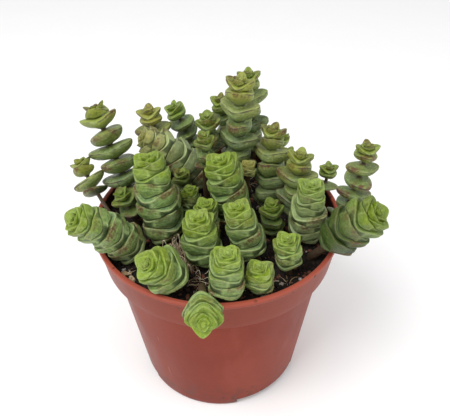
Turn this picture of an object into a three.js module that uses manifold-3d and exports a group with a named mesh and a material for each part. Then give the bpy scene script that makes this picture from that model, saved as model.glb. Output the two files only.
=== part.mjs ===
// A potted crassula: stems of stacked leaf pairs, in soil, in a round plastic nursery pot.
// Millimetres, +Z up, the front towards -Y, the origin at the middle of the pot's foot.

import * as THREE from "three";
import { mergeVertices } from "three/addons/utils/BufferGeometryUtils.js";
import Module from "manifold-3d";

const wasm = await Module();
wasm.setup();

// The pot, from its foot to its lip.
const POT_HEIGHT = 87;
const RIM_RADIUS = 52.5;
const WALL = 1.2;
const COLLAR_HEIGHT = 15.8;
const COLLAR_FOOT_RADIUS = 50;
const WALL_TOP_RADIUS = 46.7;
const FOOT_RADIUS = 38.4;
const LIP_HEIGHT = 2.4;
const LIP_OUT = 0.6;
const POT_SIDES = 40;
const SOIL_SIDES = 20;
const HOLE_SIDES = 6;

// The base stands on a flat ring with three wide notches, round a raised floor with drain holes.
const FOOT_RING_WIDTH = 8.4;
const FLOOR_UNDER = 4;
const FLOOR = 1.5;
const NOTCHES = 3;
const NOTCH_WIDTH = THREE.MathUtils.degToRad(55);
const FIRST_NOTCH = THREE.MathUtils.degToRad(37.5);
const DRAIN_HOLES = 6;
const DRAIN_RADIUS = 3.5;
const DRAIN_CIRCLE = 19;
const DRAIN_SIDES = 12;
const CUT_OVERRUN = 3;

// The soil, and the plain holes that the stems stand in.
const CLEARANCE = 0.35;
const SOIL_EDGE = 80.4;
const SOIL_LEVEL = 81;
const SOIL_CROWN = 81.4;
const ROOT_DEPTH = 4;
const HOLE_EASE = 0.6;

// Three habits of growth. Lengths are shares of the leaf's half-length: how thick the bare stem is, how
// broad and blunt a pair is, how far its points rise, how full it is above and below its margin and how
// hollow on top, how wide its belly is, how its fullness curves, and how deep the surface folds in between
// two pairs, in one ring or two. The young pairs at the tip are broad and blunt in their own way and go
// from the top down, each with its size, its rise and its distance below the last one.
const PLUMP = {
  stem: 0.2,
  broad: 0.9,
  blunt: 1.55,
  rise: 0.36,
  above: 0.12,
  below: 0.72,
  dish: 0.08,
  belly: 0.84,
  fold: 0.78,
  folds: 0,
  full: 5,
  root: 0.5,
  youngBroad: 0.9,
  youngBlunt: 1.4,
  young: [
    { size: 0.27, rise: 0.56, below: 0.1 },
    { size: 0.43, rise: 0.45, below: 0.05 },
    { size: 0.58, rise: 0.4, below: 0.07 },
    { size: 0.72, rise: 0.4, below: 0.12 },
    { size: 0.82, rise: 0.4, below: 0.22 },
    { size: 0.9, rise: 0.38, below: 0.33 },
    { size: 0.96, rise: 0.37, below: 0.38 },
  ],
};
const OPEN = {
  stem: 0.2,
  broad: 0.66,
  blunt: 1.8,
  rise: 0.27,
  above: 0.2,
  below: 0.54,
  dish: 0.08,
  belly: 0.78,
  fold: 0.32,
  folds: 1,
  full: 4,
  root: 0.52,
  youngBroad: 0.84,
  youngBlunt: 1.6,
  young: [
    { size: 0.44, rise: 0.75, below: 0.14 },
    { size: 0.66, rise: 0.55, below: 0.17 },
    { size: 0.8, rise: 0.4, below: 0.36 },
  ],
};
const LEGGY = {
  stem: 0.12,
  broad: 0.76,
  blunt: 1.9,
  rise: 0.1,
  above: 0.24,
  below: 0.36,
  dish: 0.06,
  belly: 0.74,
  fold: 0.13,
  folds: 2,
  full: 3.2,
  root: 0.5,
  youngBroad: 0.86,
  youngBlunt: 1.6,
  young: [
    { size: 0.44, rise: 0.7, below: 0.14 },
    { size: 0.66, rise: 0.45, below: 0.17 },
    { size: 0.8, rise: 0.28, below: 0.3 },
  ],
};

// What all habits share: how a pair's rise curves, around the leaf and outward, the gap kept between two
// pairs, how close two young pairs may come, how many pairs nest, the neck between them, the size and the
// depth of the lowest pair, and how uneven pairs are.
const RISE_AROUND = 2;
const RISE_OUTWARD = 1.7;
const LEAF_GAP = 0.45;
const CLOSEST = 0.5;
const NESTED = 3;
const NECK_SHARE = 0.5;
const LOWEST_SIZE = 0.92;
const LOWEST_DEPTH = 0.35;
const UNEVEN_SIZE = 0.06;
const UNEVEN_TURN = 0.22;
const AROUND = 8;
const QUARTER = Math.PI / 2;

// Every stem: its name, where it leaves the soil, its tip, its habit, the half-length of its leaves, the
// distance between its pairs, the bare length at its foot, its lean in degrees from upright at the soil
// and at the tip, and its turn in degrees. The curve's handles are a share of the straight distance.
const HANDLE = 0.4;
const STEMS = [
  ["left_tall", [-35.5, 10], [-51.2, 27.3, 124], LEGGY, 9.6, 6.6, 8, [28, 28], 0],
  ["left_small", [-41, -5.5], [-59.3, 18, 103.2], LEGGY, 7.2, 5.4, 18, [52, 38], 80],
  ["left_front", [-33, -19], [-52.9, -29.2, 110], PLUMP, 8.2, 4.3, 5, [24, 52], 40],
  ["front_left", [-16, -37.4], [-25.6, -45.2, 102], PLUMP, 8.8, 4.3, 5, [16, 46], 50],
  ["front_middle", [2.6, -43.6], [2.8, -45.4, 106], PLUMP, 7.6, 4.1, 6, [2, 4], 45],
  ["over_rim", [-6.5, -40.5], [-5.5, -68.8, 98], PLUMP, 7.5, 3.6, 23.5, [9, 64], 4],
  ["front_right_small", [15.8, -40.5], [14.2, -44, 98], PLUMP, 6.2, 3.8, 2.5, [4, 4], 30],
  ["mid_left", [-5.5, -25], [-7.5, -25.1, 106], PLUMP, 8.4, 4.9, 3, [4, 4], 45],
  ["mid_twin", [-4.4, -11.5], [-4.9, -12.8, 103], PLUMP, 5.8, 3.4, 4, [6, 6], 30],
  ["mid_right", [16, -25], [6.6, -24.2, 110], PLUMP, 7.4, 4.5, 3.5, [24, 14], 50],
  ["right_front_small", [27.5, -30.5], [25.4, -31.8, 100], PLUMP, 6.4, 4.2, 2.5, [4, 4], 40],
  ["middle", [8.5, -2], [0.8, -3.2, 117], PLUMP, 8.8, 4.7, 4, [10, 14], 40],
  ["left_thick", [-21, -11], [-26.8, -4.8, 120], PLUMP, 9.2, 4.82, 3.6, [14, 14], 50],
  ["left_leaning", [-1.5, 24], [-32.4, 22.7, 112], PLUMP, 8.3, 4.2, 6, [38, 58], 45],
  ["back_left", [-24, 38.6], [-29.9, 37.5, 116.6], LEGGY, 7.8, 5.6, 10, [8, 8], 90],
  ["back_left_small", [-9, 44], [-19.7, 43.4, 115], LEGGY, 6.8, 5.6, 8, [8, 26], 60],
  ["tallest", [9, 17], [10.1, 17.6, 140], OPEN, 8.3, 7, 16, [1, 1], 70],
  ["tall_behind", [18, 41], [15.1, 42.4, 131], OPEN, 7.2, 6.4, 8, [1, 1], 90],
  ["back_middle", [10, 32], [1.9, 31.1, 125], OPEN, 6, 5.6, 12, [14, 14], 60],
  ["inner_left", [0.5, 21.5], [-3.5, 19.5, 123], OPEN, 6.3, 6.2, 24, [3, 3], 0],
  ["inner_front", [-3.5, 7.5], [-4.8, 7.7, 121], OPEN, 5.5, 5.4, 25, [12, 5], 25],
  ["right_middle", [22, 5.5], [23.9, 15.2, 119], OPEN, 7.8, 5.6, 2.6, [8, 10], 60],
  ["right_inner", [32.5, 0.5], [34, 1.5, 115], OPEN, 7.4, 5.6, 2.6, [4, 8], 75],
  ["right_small", [42, 11], [48.6, 12.4, 101], LEGGY, 5.8, 6.6, 9, [40, 0], 90],
  ["right_thick", [36, -12], [36.3, -14.5, 112], PLUMP, 7.8, 4.4, 3, [2, 2], 45],
  ["right_tall", [43.5, -13.5], [58.2, -5.4, 122.5], LEGGY, 6.8, 5.8, 11, [45, 5], 95],
  ["right_front", [37, -22.5], [58.1, -32.7, 112.5], PLUMP, 8.7, 4.4, 11.5, [40, 50], 45],
  ["inner_small", [-10.8, -3.2], [-11.5, -1.3, 102], PLUMP, 4.8, 3.4, 6, [9, 9], 20],
  ["inner_yellow", [13.4, 8.4], [13.1, 7.1, 108], PLUMP, 4.2, 2.7, 20, [6, 6], 45],
  ["left_dark", [-34.5, 0.5], [-40, 0, 99], LEGGY, 6.6, 5.4, 5, [20, 20], 25],
  ["left_dark_inner", [-25, 11], [-26, 11.5, 99], OPEN, 5.8, 4.8, 6, [4, 4], 60],
  ["inner_low", [-14, 11], [-15.5, 11, 101], OPEN, 5.2, 4.6, 7, [4, 4], 50],
  ["stub", [22.5, -9.5], [22, -8.5, 98], OPEN, 6, 4.6, 3.5, [4, 4], 15],
  ["back_right_inner", [30, 24], [33, 27, 100], OPEN, 6.2, 5, 6, [12, 12], 50],
  ["back_right", [27, 33], [31, 40, 102], OPEN, 6.2, 5.2, 6, [12, 12], 40],
  ["back_far", [10, 43], [14, 67, 103], OPEN, 6, 5.2, 15.5, [12, 46], 15],
  ["back_left_low", [-34, 25], [-35, 27, 94], OPEN, 5.8, 4.8, 5, [10, 10], 50],
].map(([name, base, tip, habit, leaf, step, bare, leans, turn]) => {
  return { name: `stem_${name}`, base, tip, habit, leaf, step, bare, leans, turn };
});

function solidOf(geometry) {
  const bare = geometry.clone();
  bare.deleteAttribute("normal");
  bare.deleteAttribute("uv");
  const merged = mergeVertices(bare, 1e-4);
  return new wasm.Manifold(
    new wasm.Mesh({
      numProp: 3,
      vertProperties: new Float32Array(merged.attributes.position.array),
      triVerts: new Uint32Array(merged.index.array),
    }),
  );
}

function geometryOf(solid) {
  const mesh = solid.getMesh();
  const geometry = new THREE.BufferGeometry();
  geometry.setAttribute("position", new THREE.BufferAttribute(new Float32Array(mesh.vertProperties), 3));
  geometry.setIndex(new THREE.BufferAttribute(new Uint32Array(mesh.triVerts), 1));
  geometry.computeVertexNormals();
  return geometry;
}

// A lathe turns round Y, so its result is stood up to turn round Z.
function turned(profile, sides) {
  const points = profile.map(([radius, height]) => new THREE.Vector2(radius, height));
  return new THREE.LatheGeometry(points, sides).rotateX(Math.PI / 2);
}

function post(radius, low, high, sides, x, y) {
  return new THREE.CylinderGeometry(radius, radius, high - low, sides)
    .rotateX(Math.PI / 2)
    .translate(x, y, (low + high) / 2);
}

// A wedge of the foot ring, as wide as one notch and as high as the raised floor.
function notch(angle) {
  const shape = new THREE.Shape();
  const inner = FOOT_RADIUS - FOOT_RING_WIDTH - CUT_OVERRUN;
  const outer = FOOT_RADIUS + CUT_OVERRUN;
  const start = angle - NOTCH_WIDTH / 2;
  const end = angle + NOTCH_WIDTH / 2;
  shape.absarc(0, 0, outer, start, end, false);
  shape.absarc(0, 0, inner, end, start, true);
  const depth = FLOOR_UNDER + CUT_OVERRUN;
  const wedge = new THREE.ExtrudeGeometry(shape, { depth, bevelEnabled: false, curveSegments: 6 });
  return wedge.translate(0, 0, -CUT_OVERRUN);
}

function potSolid() {
  const collarFoot = POT_HEIGHT - COLLAR_HEIGHT;
  const floorTop = FLOOR_UNDER + FLOOR;
  const lipFoot = POT_HEIGHT - LIP_HEIGHT;
  const profile = [
    [0, FLOOR_UNDER],
    [FOOT_RADIUS - FOOT_RING_WIDTH, FLOOR_UNDER],
    [FOOT_RADIUS - FOOT_RING_WIDTH, 0],
    [FOOT_RADIUS - LIP_OUT, 0],
    [FOOT_RADIUS, LIP_OUT],
    [WALL_TOP_RADIUS, collarFoot],
    [COLLAR_FOOT_RADIUS, collarFoot],
    [RIM_RADIUS - LIP_OUT, lipFoot],
    [RIM_RADIUS, lipFoot + LIP_OUT],
    [RIM_RADIUS, POT_HEIGHT - LIP_OUT],
    [RIM_RADIUS - LIP_OUT, POT_HEIGHT],
    [RIM_RADIUS - LIP_OUT - WALL, POT_HEIGHT],
    [COLLAR_FOOT_RADIUS - WALL, collarFoot + WALL],
    [WALL_TOP_RADIUS - WALL, collarFoot + WALL],
    [FOOT_RADIUS - WALL, floorTop],
    [0, floorTop],
  ];
  let pot = solidOf(turned(profile, POT_SIDES));
  for (let i = 0; i < NOTCHES; i++) {
    const angle = FIRST_NOTCH - Math.PI / 2 + (i * 2 * Math.PI) / NOTCHES;
    pot = pot.subtract(solidOf(notch(angle)));
  }
  for (let i = 0; i < DRAIN_HOLES; i++) {
    const angle = (i * 2 * Math.PI) / DRAIN_HOLES;
    const x = DRAIN_CIRCLE * Math.cos(angle);
    const y = DRAIN_CIRCLE * Math.sin(angle);
    const low = FLOOR_UNDER - CUT_OVERRUN;
    pot = pot.subtract(solidOf(post(DRAIN_RADIUS, low, floorTop + CUT_OVERRUN, DRAIN_SIDES, x, y)));
  }
  return pot;
}

// The soil fills the pot and has a round hole for each stem.
function soilSolid() {
  const ledge = POT_HEIGHT - COLLAR_HEIGHT + WALL + CLEARANCE;
  const wallAt = (height) => {
    const share = (height - ledge) / (POT_HEIGHT - ledge);
    return THREE.MathUtils.lerp(COLLAR_FOOT_RADIUS, RIM_RADIUS - LIP_OUT, share) - WALL - CLEARANCE;
  };
  const profile = [
    [0, FLOOR_UNDER + FLOOR + CLEARANCE],
    [FOOT_RADIUS - WALL - CLEARANCE, FLOOR_UNDER + FLOOR + CLEARANCE],
    [WALL_TOP_RADIUS - WALL - CLEARANCE, ledge],
    [wallAt(ledge), ledge],
    [wallAt(SOIL_EDGE), SOIL_EDGE],
    [0, SOIL_CROWN],
  ];
  let soil = solidOf(turned(profile, SOIL_SIDES));
  for (const stem of STEMS) {
    const [x, y] = stem.base;
    const upright = stemCurve(stem).getTangentAt(0).z;
    const low = SOIL_LEVEL - ROOT_DEPTH - CLEARANCE;
    const radius = stemRadius(stem) / upright + HOLE_EASE;
    const hole = post(radius, low, SOIL_CROWN + CUT_OVERRUN, HOLE_SIDES, x, y);
    soil = soil.subtract(solidOf(hole));
  }
  return soil;
}

function stemRadius(stem) {
  return stem.habit.stem * stem.leaf;
}

// The curve lies in the upright plane through the stem's base and its tip.
function stemCurve(stem) {
  const base = new THREE.Vector3(stem.base[0], stem.base[1], SOIL_LEVEL);
  const tip = new THREE.Vector3(...stem.tip);
  const outward = new THREE.Vector3(tip.x - base.x, tip.y - base.y, 0).normalize();
  const handle = HANDLE * base.distanceTo(tip);
  const [low, high] = stem.leans.map((lean) => {
    const angle = THREE.MathUtils.degToRad(lean);
    const way = outward.clone().multiplyScalar(Math.sin(angle));
    return way.setZ(Math.cos(angle)).multiplyScalar(handle);
  });
  return new THREE.CubicBezierCurve3(base, base.clone().add(low), tip.clone().sub(high), tip);
}

// A seeded draw from -1 to 1, the same each time for one stem, pair and use.
function chance(stem, index, use) {
  const seed = stem.base[0] * 12.9 + stem.base[1] * 78.2 + index * 37.7 + use * 4.1;
  const draw = Math.sin(seed) * 4375.85;
  return 2 * (draw - Math.floor(draw)) - 1;
}

// The pairs of a stem, from the lowest up. place is a pair's distance along the stem from the soil.
function pairsOf(stem, length) {
  const { young, youngBroad, youngBlunt, broad, blunt } = stem.habit;
  const pairs = [];
  let place = length;
  for (const { size, rise, below } of young) {
    const half = size * stem.leaf;
    place -= Math.max(below * stem.leaf, CLOSEST);
    pairs.push({ place, half, rise: rise * half, broad: youngBroad, blunt: youngBlunt });
  }
  for (place -= stem.step; place > stem.bare; place -= stem.step) {
    pairs.push({ place, half: stem.leaf, rise: stem.habit.rise * stem.leaf, broad, blunt });
  }
  pairs.forEach((pair, index) => {
    const uneven = index > 1 ? 1 : 0;
    pair.below = stem.habit.below;
    pair.half *= 1 + UNEVEN_SIZE * uneven * chance(stem, index, 1);
    pair.turn = index * QUARTER + UNEVEN_TURN * uneven * chance(stem, index, 2);
  });
  const lowest = pairs[pairs.length - 1];
  lowest.half *= LOWEST_SIZE;
  lowest.below *= LOWEST_DEPTH;
  return pairs.reverse();
}

// How far a pair's margin is from the stem's middle, in the direction around.
function marginReach(stem, pair, around) {
  const along = Math.abs(Math.cos(around - pair.turn)) ** pair.blunt;
  const aside = Math.abs(Math.sin(around - pair.turn) / pair.broad) ** pair.blunt;
  return pair.half / (along + aside) ** (1 / pair.blunt);
}

// The height of a pair's upper (side 1) or lower (side -1) face, at a direction and a distance out.
function faceAt(stem, pair, around, out, side) {
  const share = Math.min(out / marginReach(stem, pair, around), 1);
  const rise = pair.rise * Math.abs(Math.cos(around - pair.turn)) ** RISE_AROUND;
  const middle = rise * share ** RISE_OUTWARD - stem.habit.dish * pair.half * (1 - share ** 2);
  const full = side > 0 ? stem.habit.above : -pair.below;
  return pair.place + middle + full * pair.half * (1 - share ** stem.habit.full) ** stem.habit.root;
}

// The height of a pair's upper face where it lies on the pairs just under it, kept clear of them.
function topAt(stem, pairs, index, around, out) {
  const first = Math.max(index - NESTED, 0);
  let height = faceAt(stem, pairs[first], around, out, 1);
  for (const pair of pairs.slice(first + 1, index + 1)) {
    height = Math.max(height + LEAF_GAP, faceAt(stem, pair, around, out, 1));
  }
  return height;
}

// The rings of a stem's surface from its root up. Each gives a distance out and a height for a direction.
function ringsOf(stem, pairs) {
  const radius = stemRadius(stem);
  const round = (height) => () => [radius, height];
  const lowest = pairs[0];
  const rings = [() => [0, -ROOT_DEPTH], round(-ROOT_DEPTH), round(0)];
  rings.push(round(lowest.place - lowest.below * lowest.half - radius));
  pairs.forEach((pair, index) => {
    const over = pairs[index + 1];
    rings.push((around) => {
      const out = stem.habit.belly * marginReach(stem, pair, around);
      const belly = faceAt(stem, pair, around, out, -1);
      return [out, index ? Math.max(belly, topAt(stem, pairs, index - 1, around, out) + LEAF_GAP) : belly];
    });
    rings.push((around) => {
      const out = marginReach(stem, pair, around);
      return [out, topAt(stem, pairs, index, around, out)];
    });
    for (let fold = 1; over && fold <= stem.habit.folds; fold++) {
      rings.push((around) => {
        const inner = Math.min(over.half, pair.half);
        const out = Math.max(stem.habit.fold * inner, Math.min(radius, NECK_SHARE * inner));
        const low = topAt(stem, pairs, index, around, out);
        const high = Math.max(low + LEAF_GAP, faceAt(stem, over, around, out, -1));
        return [out, THREE.MathUtils.lerp(low, high, fold / (stem.habit.folds + 1))];
      });
    }
  });
  const bud = pairs[pairs.length - 1];
  rings.push(() => [0, bud.place + bud.half * stem.habit.above]);
  return rings;
}

// Bends the straight stack onto the stem's curve: a height becomes a distance along it.
function bentPoint(curve, length, stem, out, around, height) {
  const share = THREE.MathUtils.clamp(height / length, 0, 1);
  const up = height < 0 ? new THREE.Vector3(0, 0, 1) : curve.getTangentAt(share);
  const turn = around + THREE.MathUtils.degToRad(stem.turn);
  const point = new THREE.Vector3(out * Math.cos(turn), out * Math.sin(turn), 0);
  point.applyQuaternion(new THREE.Quaternion().setFromUnitVectors(new THREE.Vector3(0, 0, 1), up));
  point.addScaledVector(up, height - share * length);
  return point.add(curve.getPointAt(share));
}

// A leafy stem is a lathe's mesh whose rings are moved to the margins, bellies and folds of its pairs.
function stemSolid(stem) {
  const curve = stemCurve(stem);
  const length = curve.getLength();
  const rings = ringsOf(stem, pairsOf(stem, length));
  const profile = rings.map((ring, index) => new THREE.Vector2(ring(0)[0], index));
  const geometry = new THREE.LatheGeometry(profile, AROUND);
  const spot = geometry.attributes.position;
  for (let i = 0; i < spot.count; i++) {
    const side = Math.floor(i / rings.length) % AROUND;
    const around = (side / AROUND) * 2 * Math.PI;
    const [out, height] = rings[i % rings.length](around);
    const point = bentPoint(curve, length, stem, out, around, height);
    spot.setXYZ(i, point.x, point.y, point.z);
  }
  return solidOf(geometry);
}

const looks = {
  pot: { color: 0xa5493c, roughness: 0.42, metalness: 0 },
  soil: { color: 0x2a211b, roughness: 0.95, metalness: 0 },
  stem: { color: 0x7d9c55, roughness: 0.5, metalness: 0 },
};

function piece(name, solid, look) {
  const mesh = new THREE.Mesh(geometryOf(solid), new THREE.MeshStandardMaterial(look));
  mesh.name = name;
  return mesh;
}

const group = new THREE.Group();
group.add(piece("pot", potSolid(), looks.pot));
group.add(piece("soil", soilSolid(), looks.soil));
for (const stem of STEMS) {
  group.add(piece(stem.name, stemSolid(stem), looks.stem));
}

export default group;
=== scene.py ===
import math
import random

import bmesh
import bpy
import numpy as np
from mathutils import Matrix, Vector, noise


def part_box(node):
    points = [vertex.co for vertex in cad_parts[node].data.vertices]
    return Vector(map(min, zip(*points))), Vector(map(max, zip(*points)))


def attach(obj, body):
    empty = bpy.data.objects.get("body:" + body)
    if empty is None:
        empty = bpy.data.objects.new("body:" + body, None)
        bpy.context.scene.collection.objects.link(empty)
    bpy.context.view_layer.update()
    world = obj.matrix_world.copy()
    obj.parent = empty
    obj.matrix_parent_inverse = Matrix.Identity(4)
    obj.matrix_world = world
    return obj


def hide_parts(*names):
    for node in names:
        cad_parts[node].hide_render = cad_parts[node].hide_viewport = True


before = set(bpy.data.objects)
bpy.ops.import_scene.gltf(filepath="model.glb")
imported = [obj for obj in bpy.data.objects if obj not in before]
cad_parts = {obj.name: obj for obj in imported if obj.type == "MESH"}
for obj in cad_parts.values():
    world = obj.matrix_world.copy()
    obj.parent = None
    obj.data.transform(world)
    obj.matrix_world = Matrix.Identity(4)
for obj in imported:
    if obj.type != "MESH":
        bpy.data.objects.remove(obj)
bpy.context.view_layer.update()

# Lengths are in millimetres here, and become metres in each mesh.
MM = 0.001
TURN = 2 * math.pi

# The pot. Its height and its rim come from the frame.
_, pot_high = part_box("pot")
POT_HEIGHT = pot_high.z / MM
RIM_RADIUS = pot_high.x / MM
WALL = 1.2
COLLAR_HEIGHT = 15.8
COLLAR_FOOT_RADIUS = 50
WALL_TOP_RADIUS = 46.7
FOOT_RADIUS = 38.4
FOOT_RING_WIDTH = 8.4
COLLAR_SLOPE = 0.135
LIP_HEIGHT = 2.4
LIP_OUT = 0.6
FLOOR_UNDER = 4
FLOOR = 1.5
NOTCHES = 3
NOTCH_WIDTH = math.radians(55)
FIRST_NOTCH = math.radians(37.5 - 90)
DRAIN_HOLES = 6
DRAIN_RADIUS = 3.5
DRAIN_CIRCLE = 19
POT_SIDES = 240
CORNER_STEPS = 5
LONGEST_LEG = 3
SHARP_FROM = math.radians(50)

# The soil.
CLEARANCE = 0.35
SOIL_LEVEL = 81
ROOT_DEPTH = 4

# Habits of growth, as shares of a leaf's half-length: the stalk's radius, how broad a leaf is, how far its
# tip rises, how high and low a pair's faces are, its dish, its fold's radius, its point and its bulge. Its
# lip is in millimetres, and blunt, full and root are exponents. The young pairs have their own breadth and
# bluntness, and from the tip down their size, their rise and their distance below the last one.
PLUMP = {
    "stem": 0.2, "broad": 0.9, "blunt": 1.55, "rise": 0.36, "above": 0.12, "below": 0.72, "dish": 0.08,
    "fold": 0.76, "full": 4.4, "root": 0.5, "lip": 0.26, "point": 0.05, "bulge": 0.06,
    "young_broad": 0.9, "young_blunt": 1.4,
    "young": [
        (0.27, 0.56, 0.1), (0.43, 0.45, 0.05), (0.58, 0.4, 0.07), (0.72, 0.4, 0.12),
        (0.82, 0.4, 0.22), (0.9, 0.38, 0.33), (0.96, 0.37, 0.38),
    ],
}
OPEN = {
    "stem": 0.2, "broad": 0.66, "blunt": 1.8, "rise": 0.27, "above": 0.2, "below": 0.54, "dish": 0.08,
    "fold": 0.32, "full": 4, "root": 0.52, "lip": 0.2, "point": 0.12, "bulge": 0.045,
    "young_broad": 0.84, "young_blunt": 1.6,
    "young": [(0.44, 0.75, 0.14), (0.66, 0.55, 0.17), (0.8, 0.4, 0.36)],
}
LEGGY = {
    "stem": 0.12, "broad": 0.76, "blunt": 1.9, "rise": 0.1, "above": 0.24, "below": 0.36, "dish": 0.06,
    "fold": 0.13, "full": 3.2, "root": 0.5, "lip": 0.12, "point": 0.12, "bulge": 0.0,
    "young_broad": 0.86, "young_blunt": 1.6,
    "young": [(0.44, 0.7, 0.14), (0.66, 0.45, 0.17), (0.8, 0.28, 0.3)],
}
RISE_AROUND = 2
RISE_OUTWARD = 1.7
LEAF_GAP = 0.2
NECK_SHARE = 0.5
CLOSEST = 0.5
NESTED = 3
LOWEST_SIZE = 0.92
LOWEST_DEPTH = 0.35
UNEVEN_SIZE = 0.06
UNEVEN_TURN = 0.22
UNEVEN_SIDES = 0.05
UNEVEN_TILT = 0.08
WAVES = (2, 3, 5)
WAVE_SIZE = 0.018
TIP_SHARPNESS = 10
BUD_SIZES = (0.62, 0.34)
BUD_STEP = 0.05
BUD_RISE = 1.05

# Every stem as in the solids: its name, where it leaves the soil, its tip, its habit, the half-length of
# its leaves, the distance between its pairs, the bare length at its foot, its lean in degrees from
# upright at the soil and at the tip, and its turn.
HANDLE = 0.4
STEMS = [
    ("left_tall", (-35.5, 10), (-51.2, 27.3, 124), LEGGY, 9.6, 6.6, 8, (28, 28), 0),
    ("left_small", (-41, -5.5), (-59.3, 18, 103.2), LEGGY, 7.2, 5.4, 18, (52, 38), 80),
    ("left_front", (-33, -19), (-52.9, -29.2, 110), PLUMP, 8.2, 4.3, 5, (24, 52), 40),
    ("front_left", (-16, -37.4), (-25.6, -45.2, 102), PLUMP, 8.8, 4.3, 5, (16, 46), 50),
    ("front_middle", (2.6, -43.6), (2.8, -45.4, 106), PLUMP, 7.6, 4.1, 6, (2, 4), 45),
    ("over_rim", (-6.5, -40.5), (-5.5, -68.8, 98), PLUMP, 7.5, 3.6, 23.5, (9, 64), 4),
    ("front_right_small", (15.8, -40.5), (14.2, -44, 98), PLUMP, 6.2, 3.8, 2.5, (4, 4), 30),
    ("mid_left", (-5.5, -25), (-7.5, -25.1, 106), PLUMP, 8.4, 4.9, 3, (4, 4), 45),
    ("mid_twin", (-4.4, -11.5), (-4.9, -12.8, 103), PLUMP, 5.8, 3.4, 4, (6, 6), 30),
    ("mid_right", (16, -25), (6.6, -24.2, 110), PLUMP, 7.4, 4.5, 3.5, (24, 14), 50),
    ("right_front_small", (27.5, -30.5), (25.4, -31.8, 100), PLUMP, 6.4, 4.2, 2.5, (4, 4), 40),
    ("middle", (8.5, -2), (0.8, -3.2, 117), PLUMP, 8.8, 4.7, 4, (10, 14), 40),
    ("left_thick", (-21, -11), (-26.8, -4.8, 120), PLUMP, 9.2, 4.82, 3.6, (14, 14), 50),
    ("left_leaning", (-1.5, 24), (-32.4, 22.7, 112), PLUMP, 8.3, 4.2, 6, (38, 58), 45),
    ("back_left", (-24, 38.6), (-29.9, 37.5, 116.6), LEGGY, 7.8, 5.6, 10, (8, 8), 90),
    ("back_left_small", (-9, 44), (-19.7, 43.4, 115), LEGGY, 6.8, 5.6, 8, (8, 26), 60),
    ("tallest", (9, 17), (10.1, 17.6, 140), OPEN, 8.3, 7, 16, (1, 1), 70),
    ("tall_behind", (18, 41), (15.1, 42.4, 131), OPEN, 7.2, 6.4, 8, (1, 1), 90),
    ("back_middle", (10, 32), (1.9, 31.1, 125), OPEN, 6, 5.6, 12, (14, 14), 60),
    ("inner_left", (0.5, 21.5), (-3.5, 19.5, 123), OPEN, 6.3, 6.2, 24, (3, 3), 0),
    ("inner_front", (-3.5, 7.5), (-4.8, 7.7, 121), OPEN, 5.5, 5.4, 25, (12, 5), 25),
    ("right_middle", (22, 5.5), (23.9, 15.2, 119), OPEN, 7.8, 5.6, 2.6, (8, 10), 60),
    ("right_inner", (32.5, 0.5), (34, 1.5, 115), OPEN, 7.4, 5.6, 2.6, (4, 8), 75),
    ("right_small", (42, 11), (48.6, 12.4, 101), LEGGY, 5.8, 6.6, 9, (40, 0), 90),
    ("right_thick", (36, -12), (36.3, -14.5, 112), PLUMP, 7.8, 4.4, 3, (2, 2), 45),
    ("right_tall", (43.5, -13.5), (58.2, -5.4, 122.5), LEGGY, 6.8, 5.8, 11, (45, 5), 95),
    ("right_front", (37, -22.5), (58.1, -32.7, 112.5), PLUMP, 8.7, 4.4, 11.5, (40, 50), 45),
    ("inner_small", (-10.8, -3.2), (-11.5, -1.3, 102), PLUMP, 4.8, 3.4, 6, (9, 9), 20),
    ("inner_yellow", (13.4, 8.4), (13.1, 7.1, 108), PLUMP, 4.2, 2.7, 20, (6, 6), 45),
    ("left_dark", (-34.5, 0.5), (-40, 0, 99), LEGGY, 6.6, 5.4, 5, (20, 20), 25),
    ("left_dark_inner", (-25, 11), (-26, 11.5, 99), OPEN, 5.8, 4.8, 6, (4, 4), 60),
    ("inner_low", (-14, 11), (-15.5, 11, 101), OPEN, 5.2, 4.6, 7, (4, 4), 50),
    ("stub", (22.5, -9.5), (22, -8.5, 98), OPEN, 6, 4.6, 3.5, (4, 4), 15),
    ("back_right_inner", (30, 24), (33, 27, 100), OPEN, 6.2, 5, 6, (12, 12), 50),
    ("back_right", (27, 33), (31, 40, 102), OPEN, 6.2, 5.2, 6, (12, 12), 40),
    ("back_far", (10, 43), (14, 67, 103), OPEN, 6, 5.2, 15.5, (12, 46), 15),
    ("back_left_low", (-34, 25), (-35, 27, 94), OPEN, 5.8, 4.8, 5, (10, 10), 50),
]

# How each stem's colour differs from the rest: how red its tips are, how yellow its crown is, how pale or
# dark it is, and how much older than usual its crown looks. Its paleness is partly a paler tone and partly
# painted light on stems that stand in shade, and its darkness is painted shade on stems in the others'
# shadow. What isn't listed is as usual.
USUAL = (1.2, 0.15, 0, 0)
TINTS = {
    "left_leaning": (2, 1.5, 0.75, 0.12), "right_thick": (1, 0.1, 0.5, 0), "back_left": (1.2, 0.8, 0.1, 0),
    "right_front": (1.1, 0.15, -1.3, 0), "back_left_small": (0.3, 0, 0, 0), "tallest": (1.3, 0.6, 0.1, 0),
    "right_middle": (1.1, 0.5, 0.1, 0), "right_inner": (1.1, 0.45, 0.1, 0), "right_tall": (1.5, 0.3, 0, 0),
    "left_tall": (1.3, 0.4, -0.15, 0), "left_small": (1.4, 0.5, 0.1, 0), "inner_yellow": (0.7, 1.8, 0.5, 0),
    "left_dark": (1, 0, -1, 0), "left_dark_inner": (1, 0, -0.8, 0), "stub": (0.6, 0, -0.8, 0),
}


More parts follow.
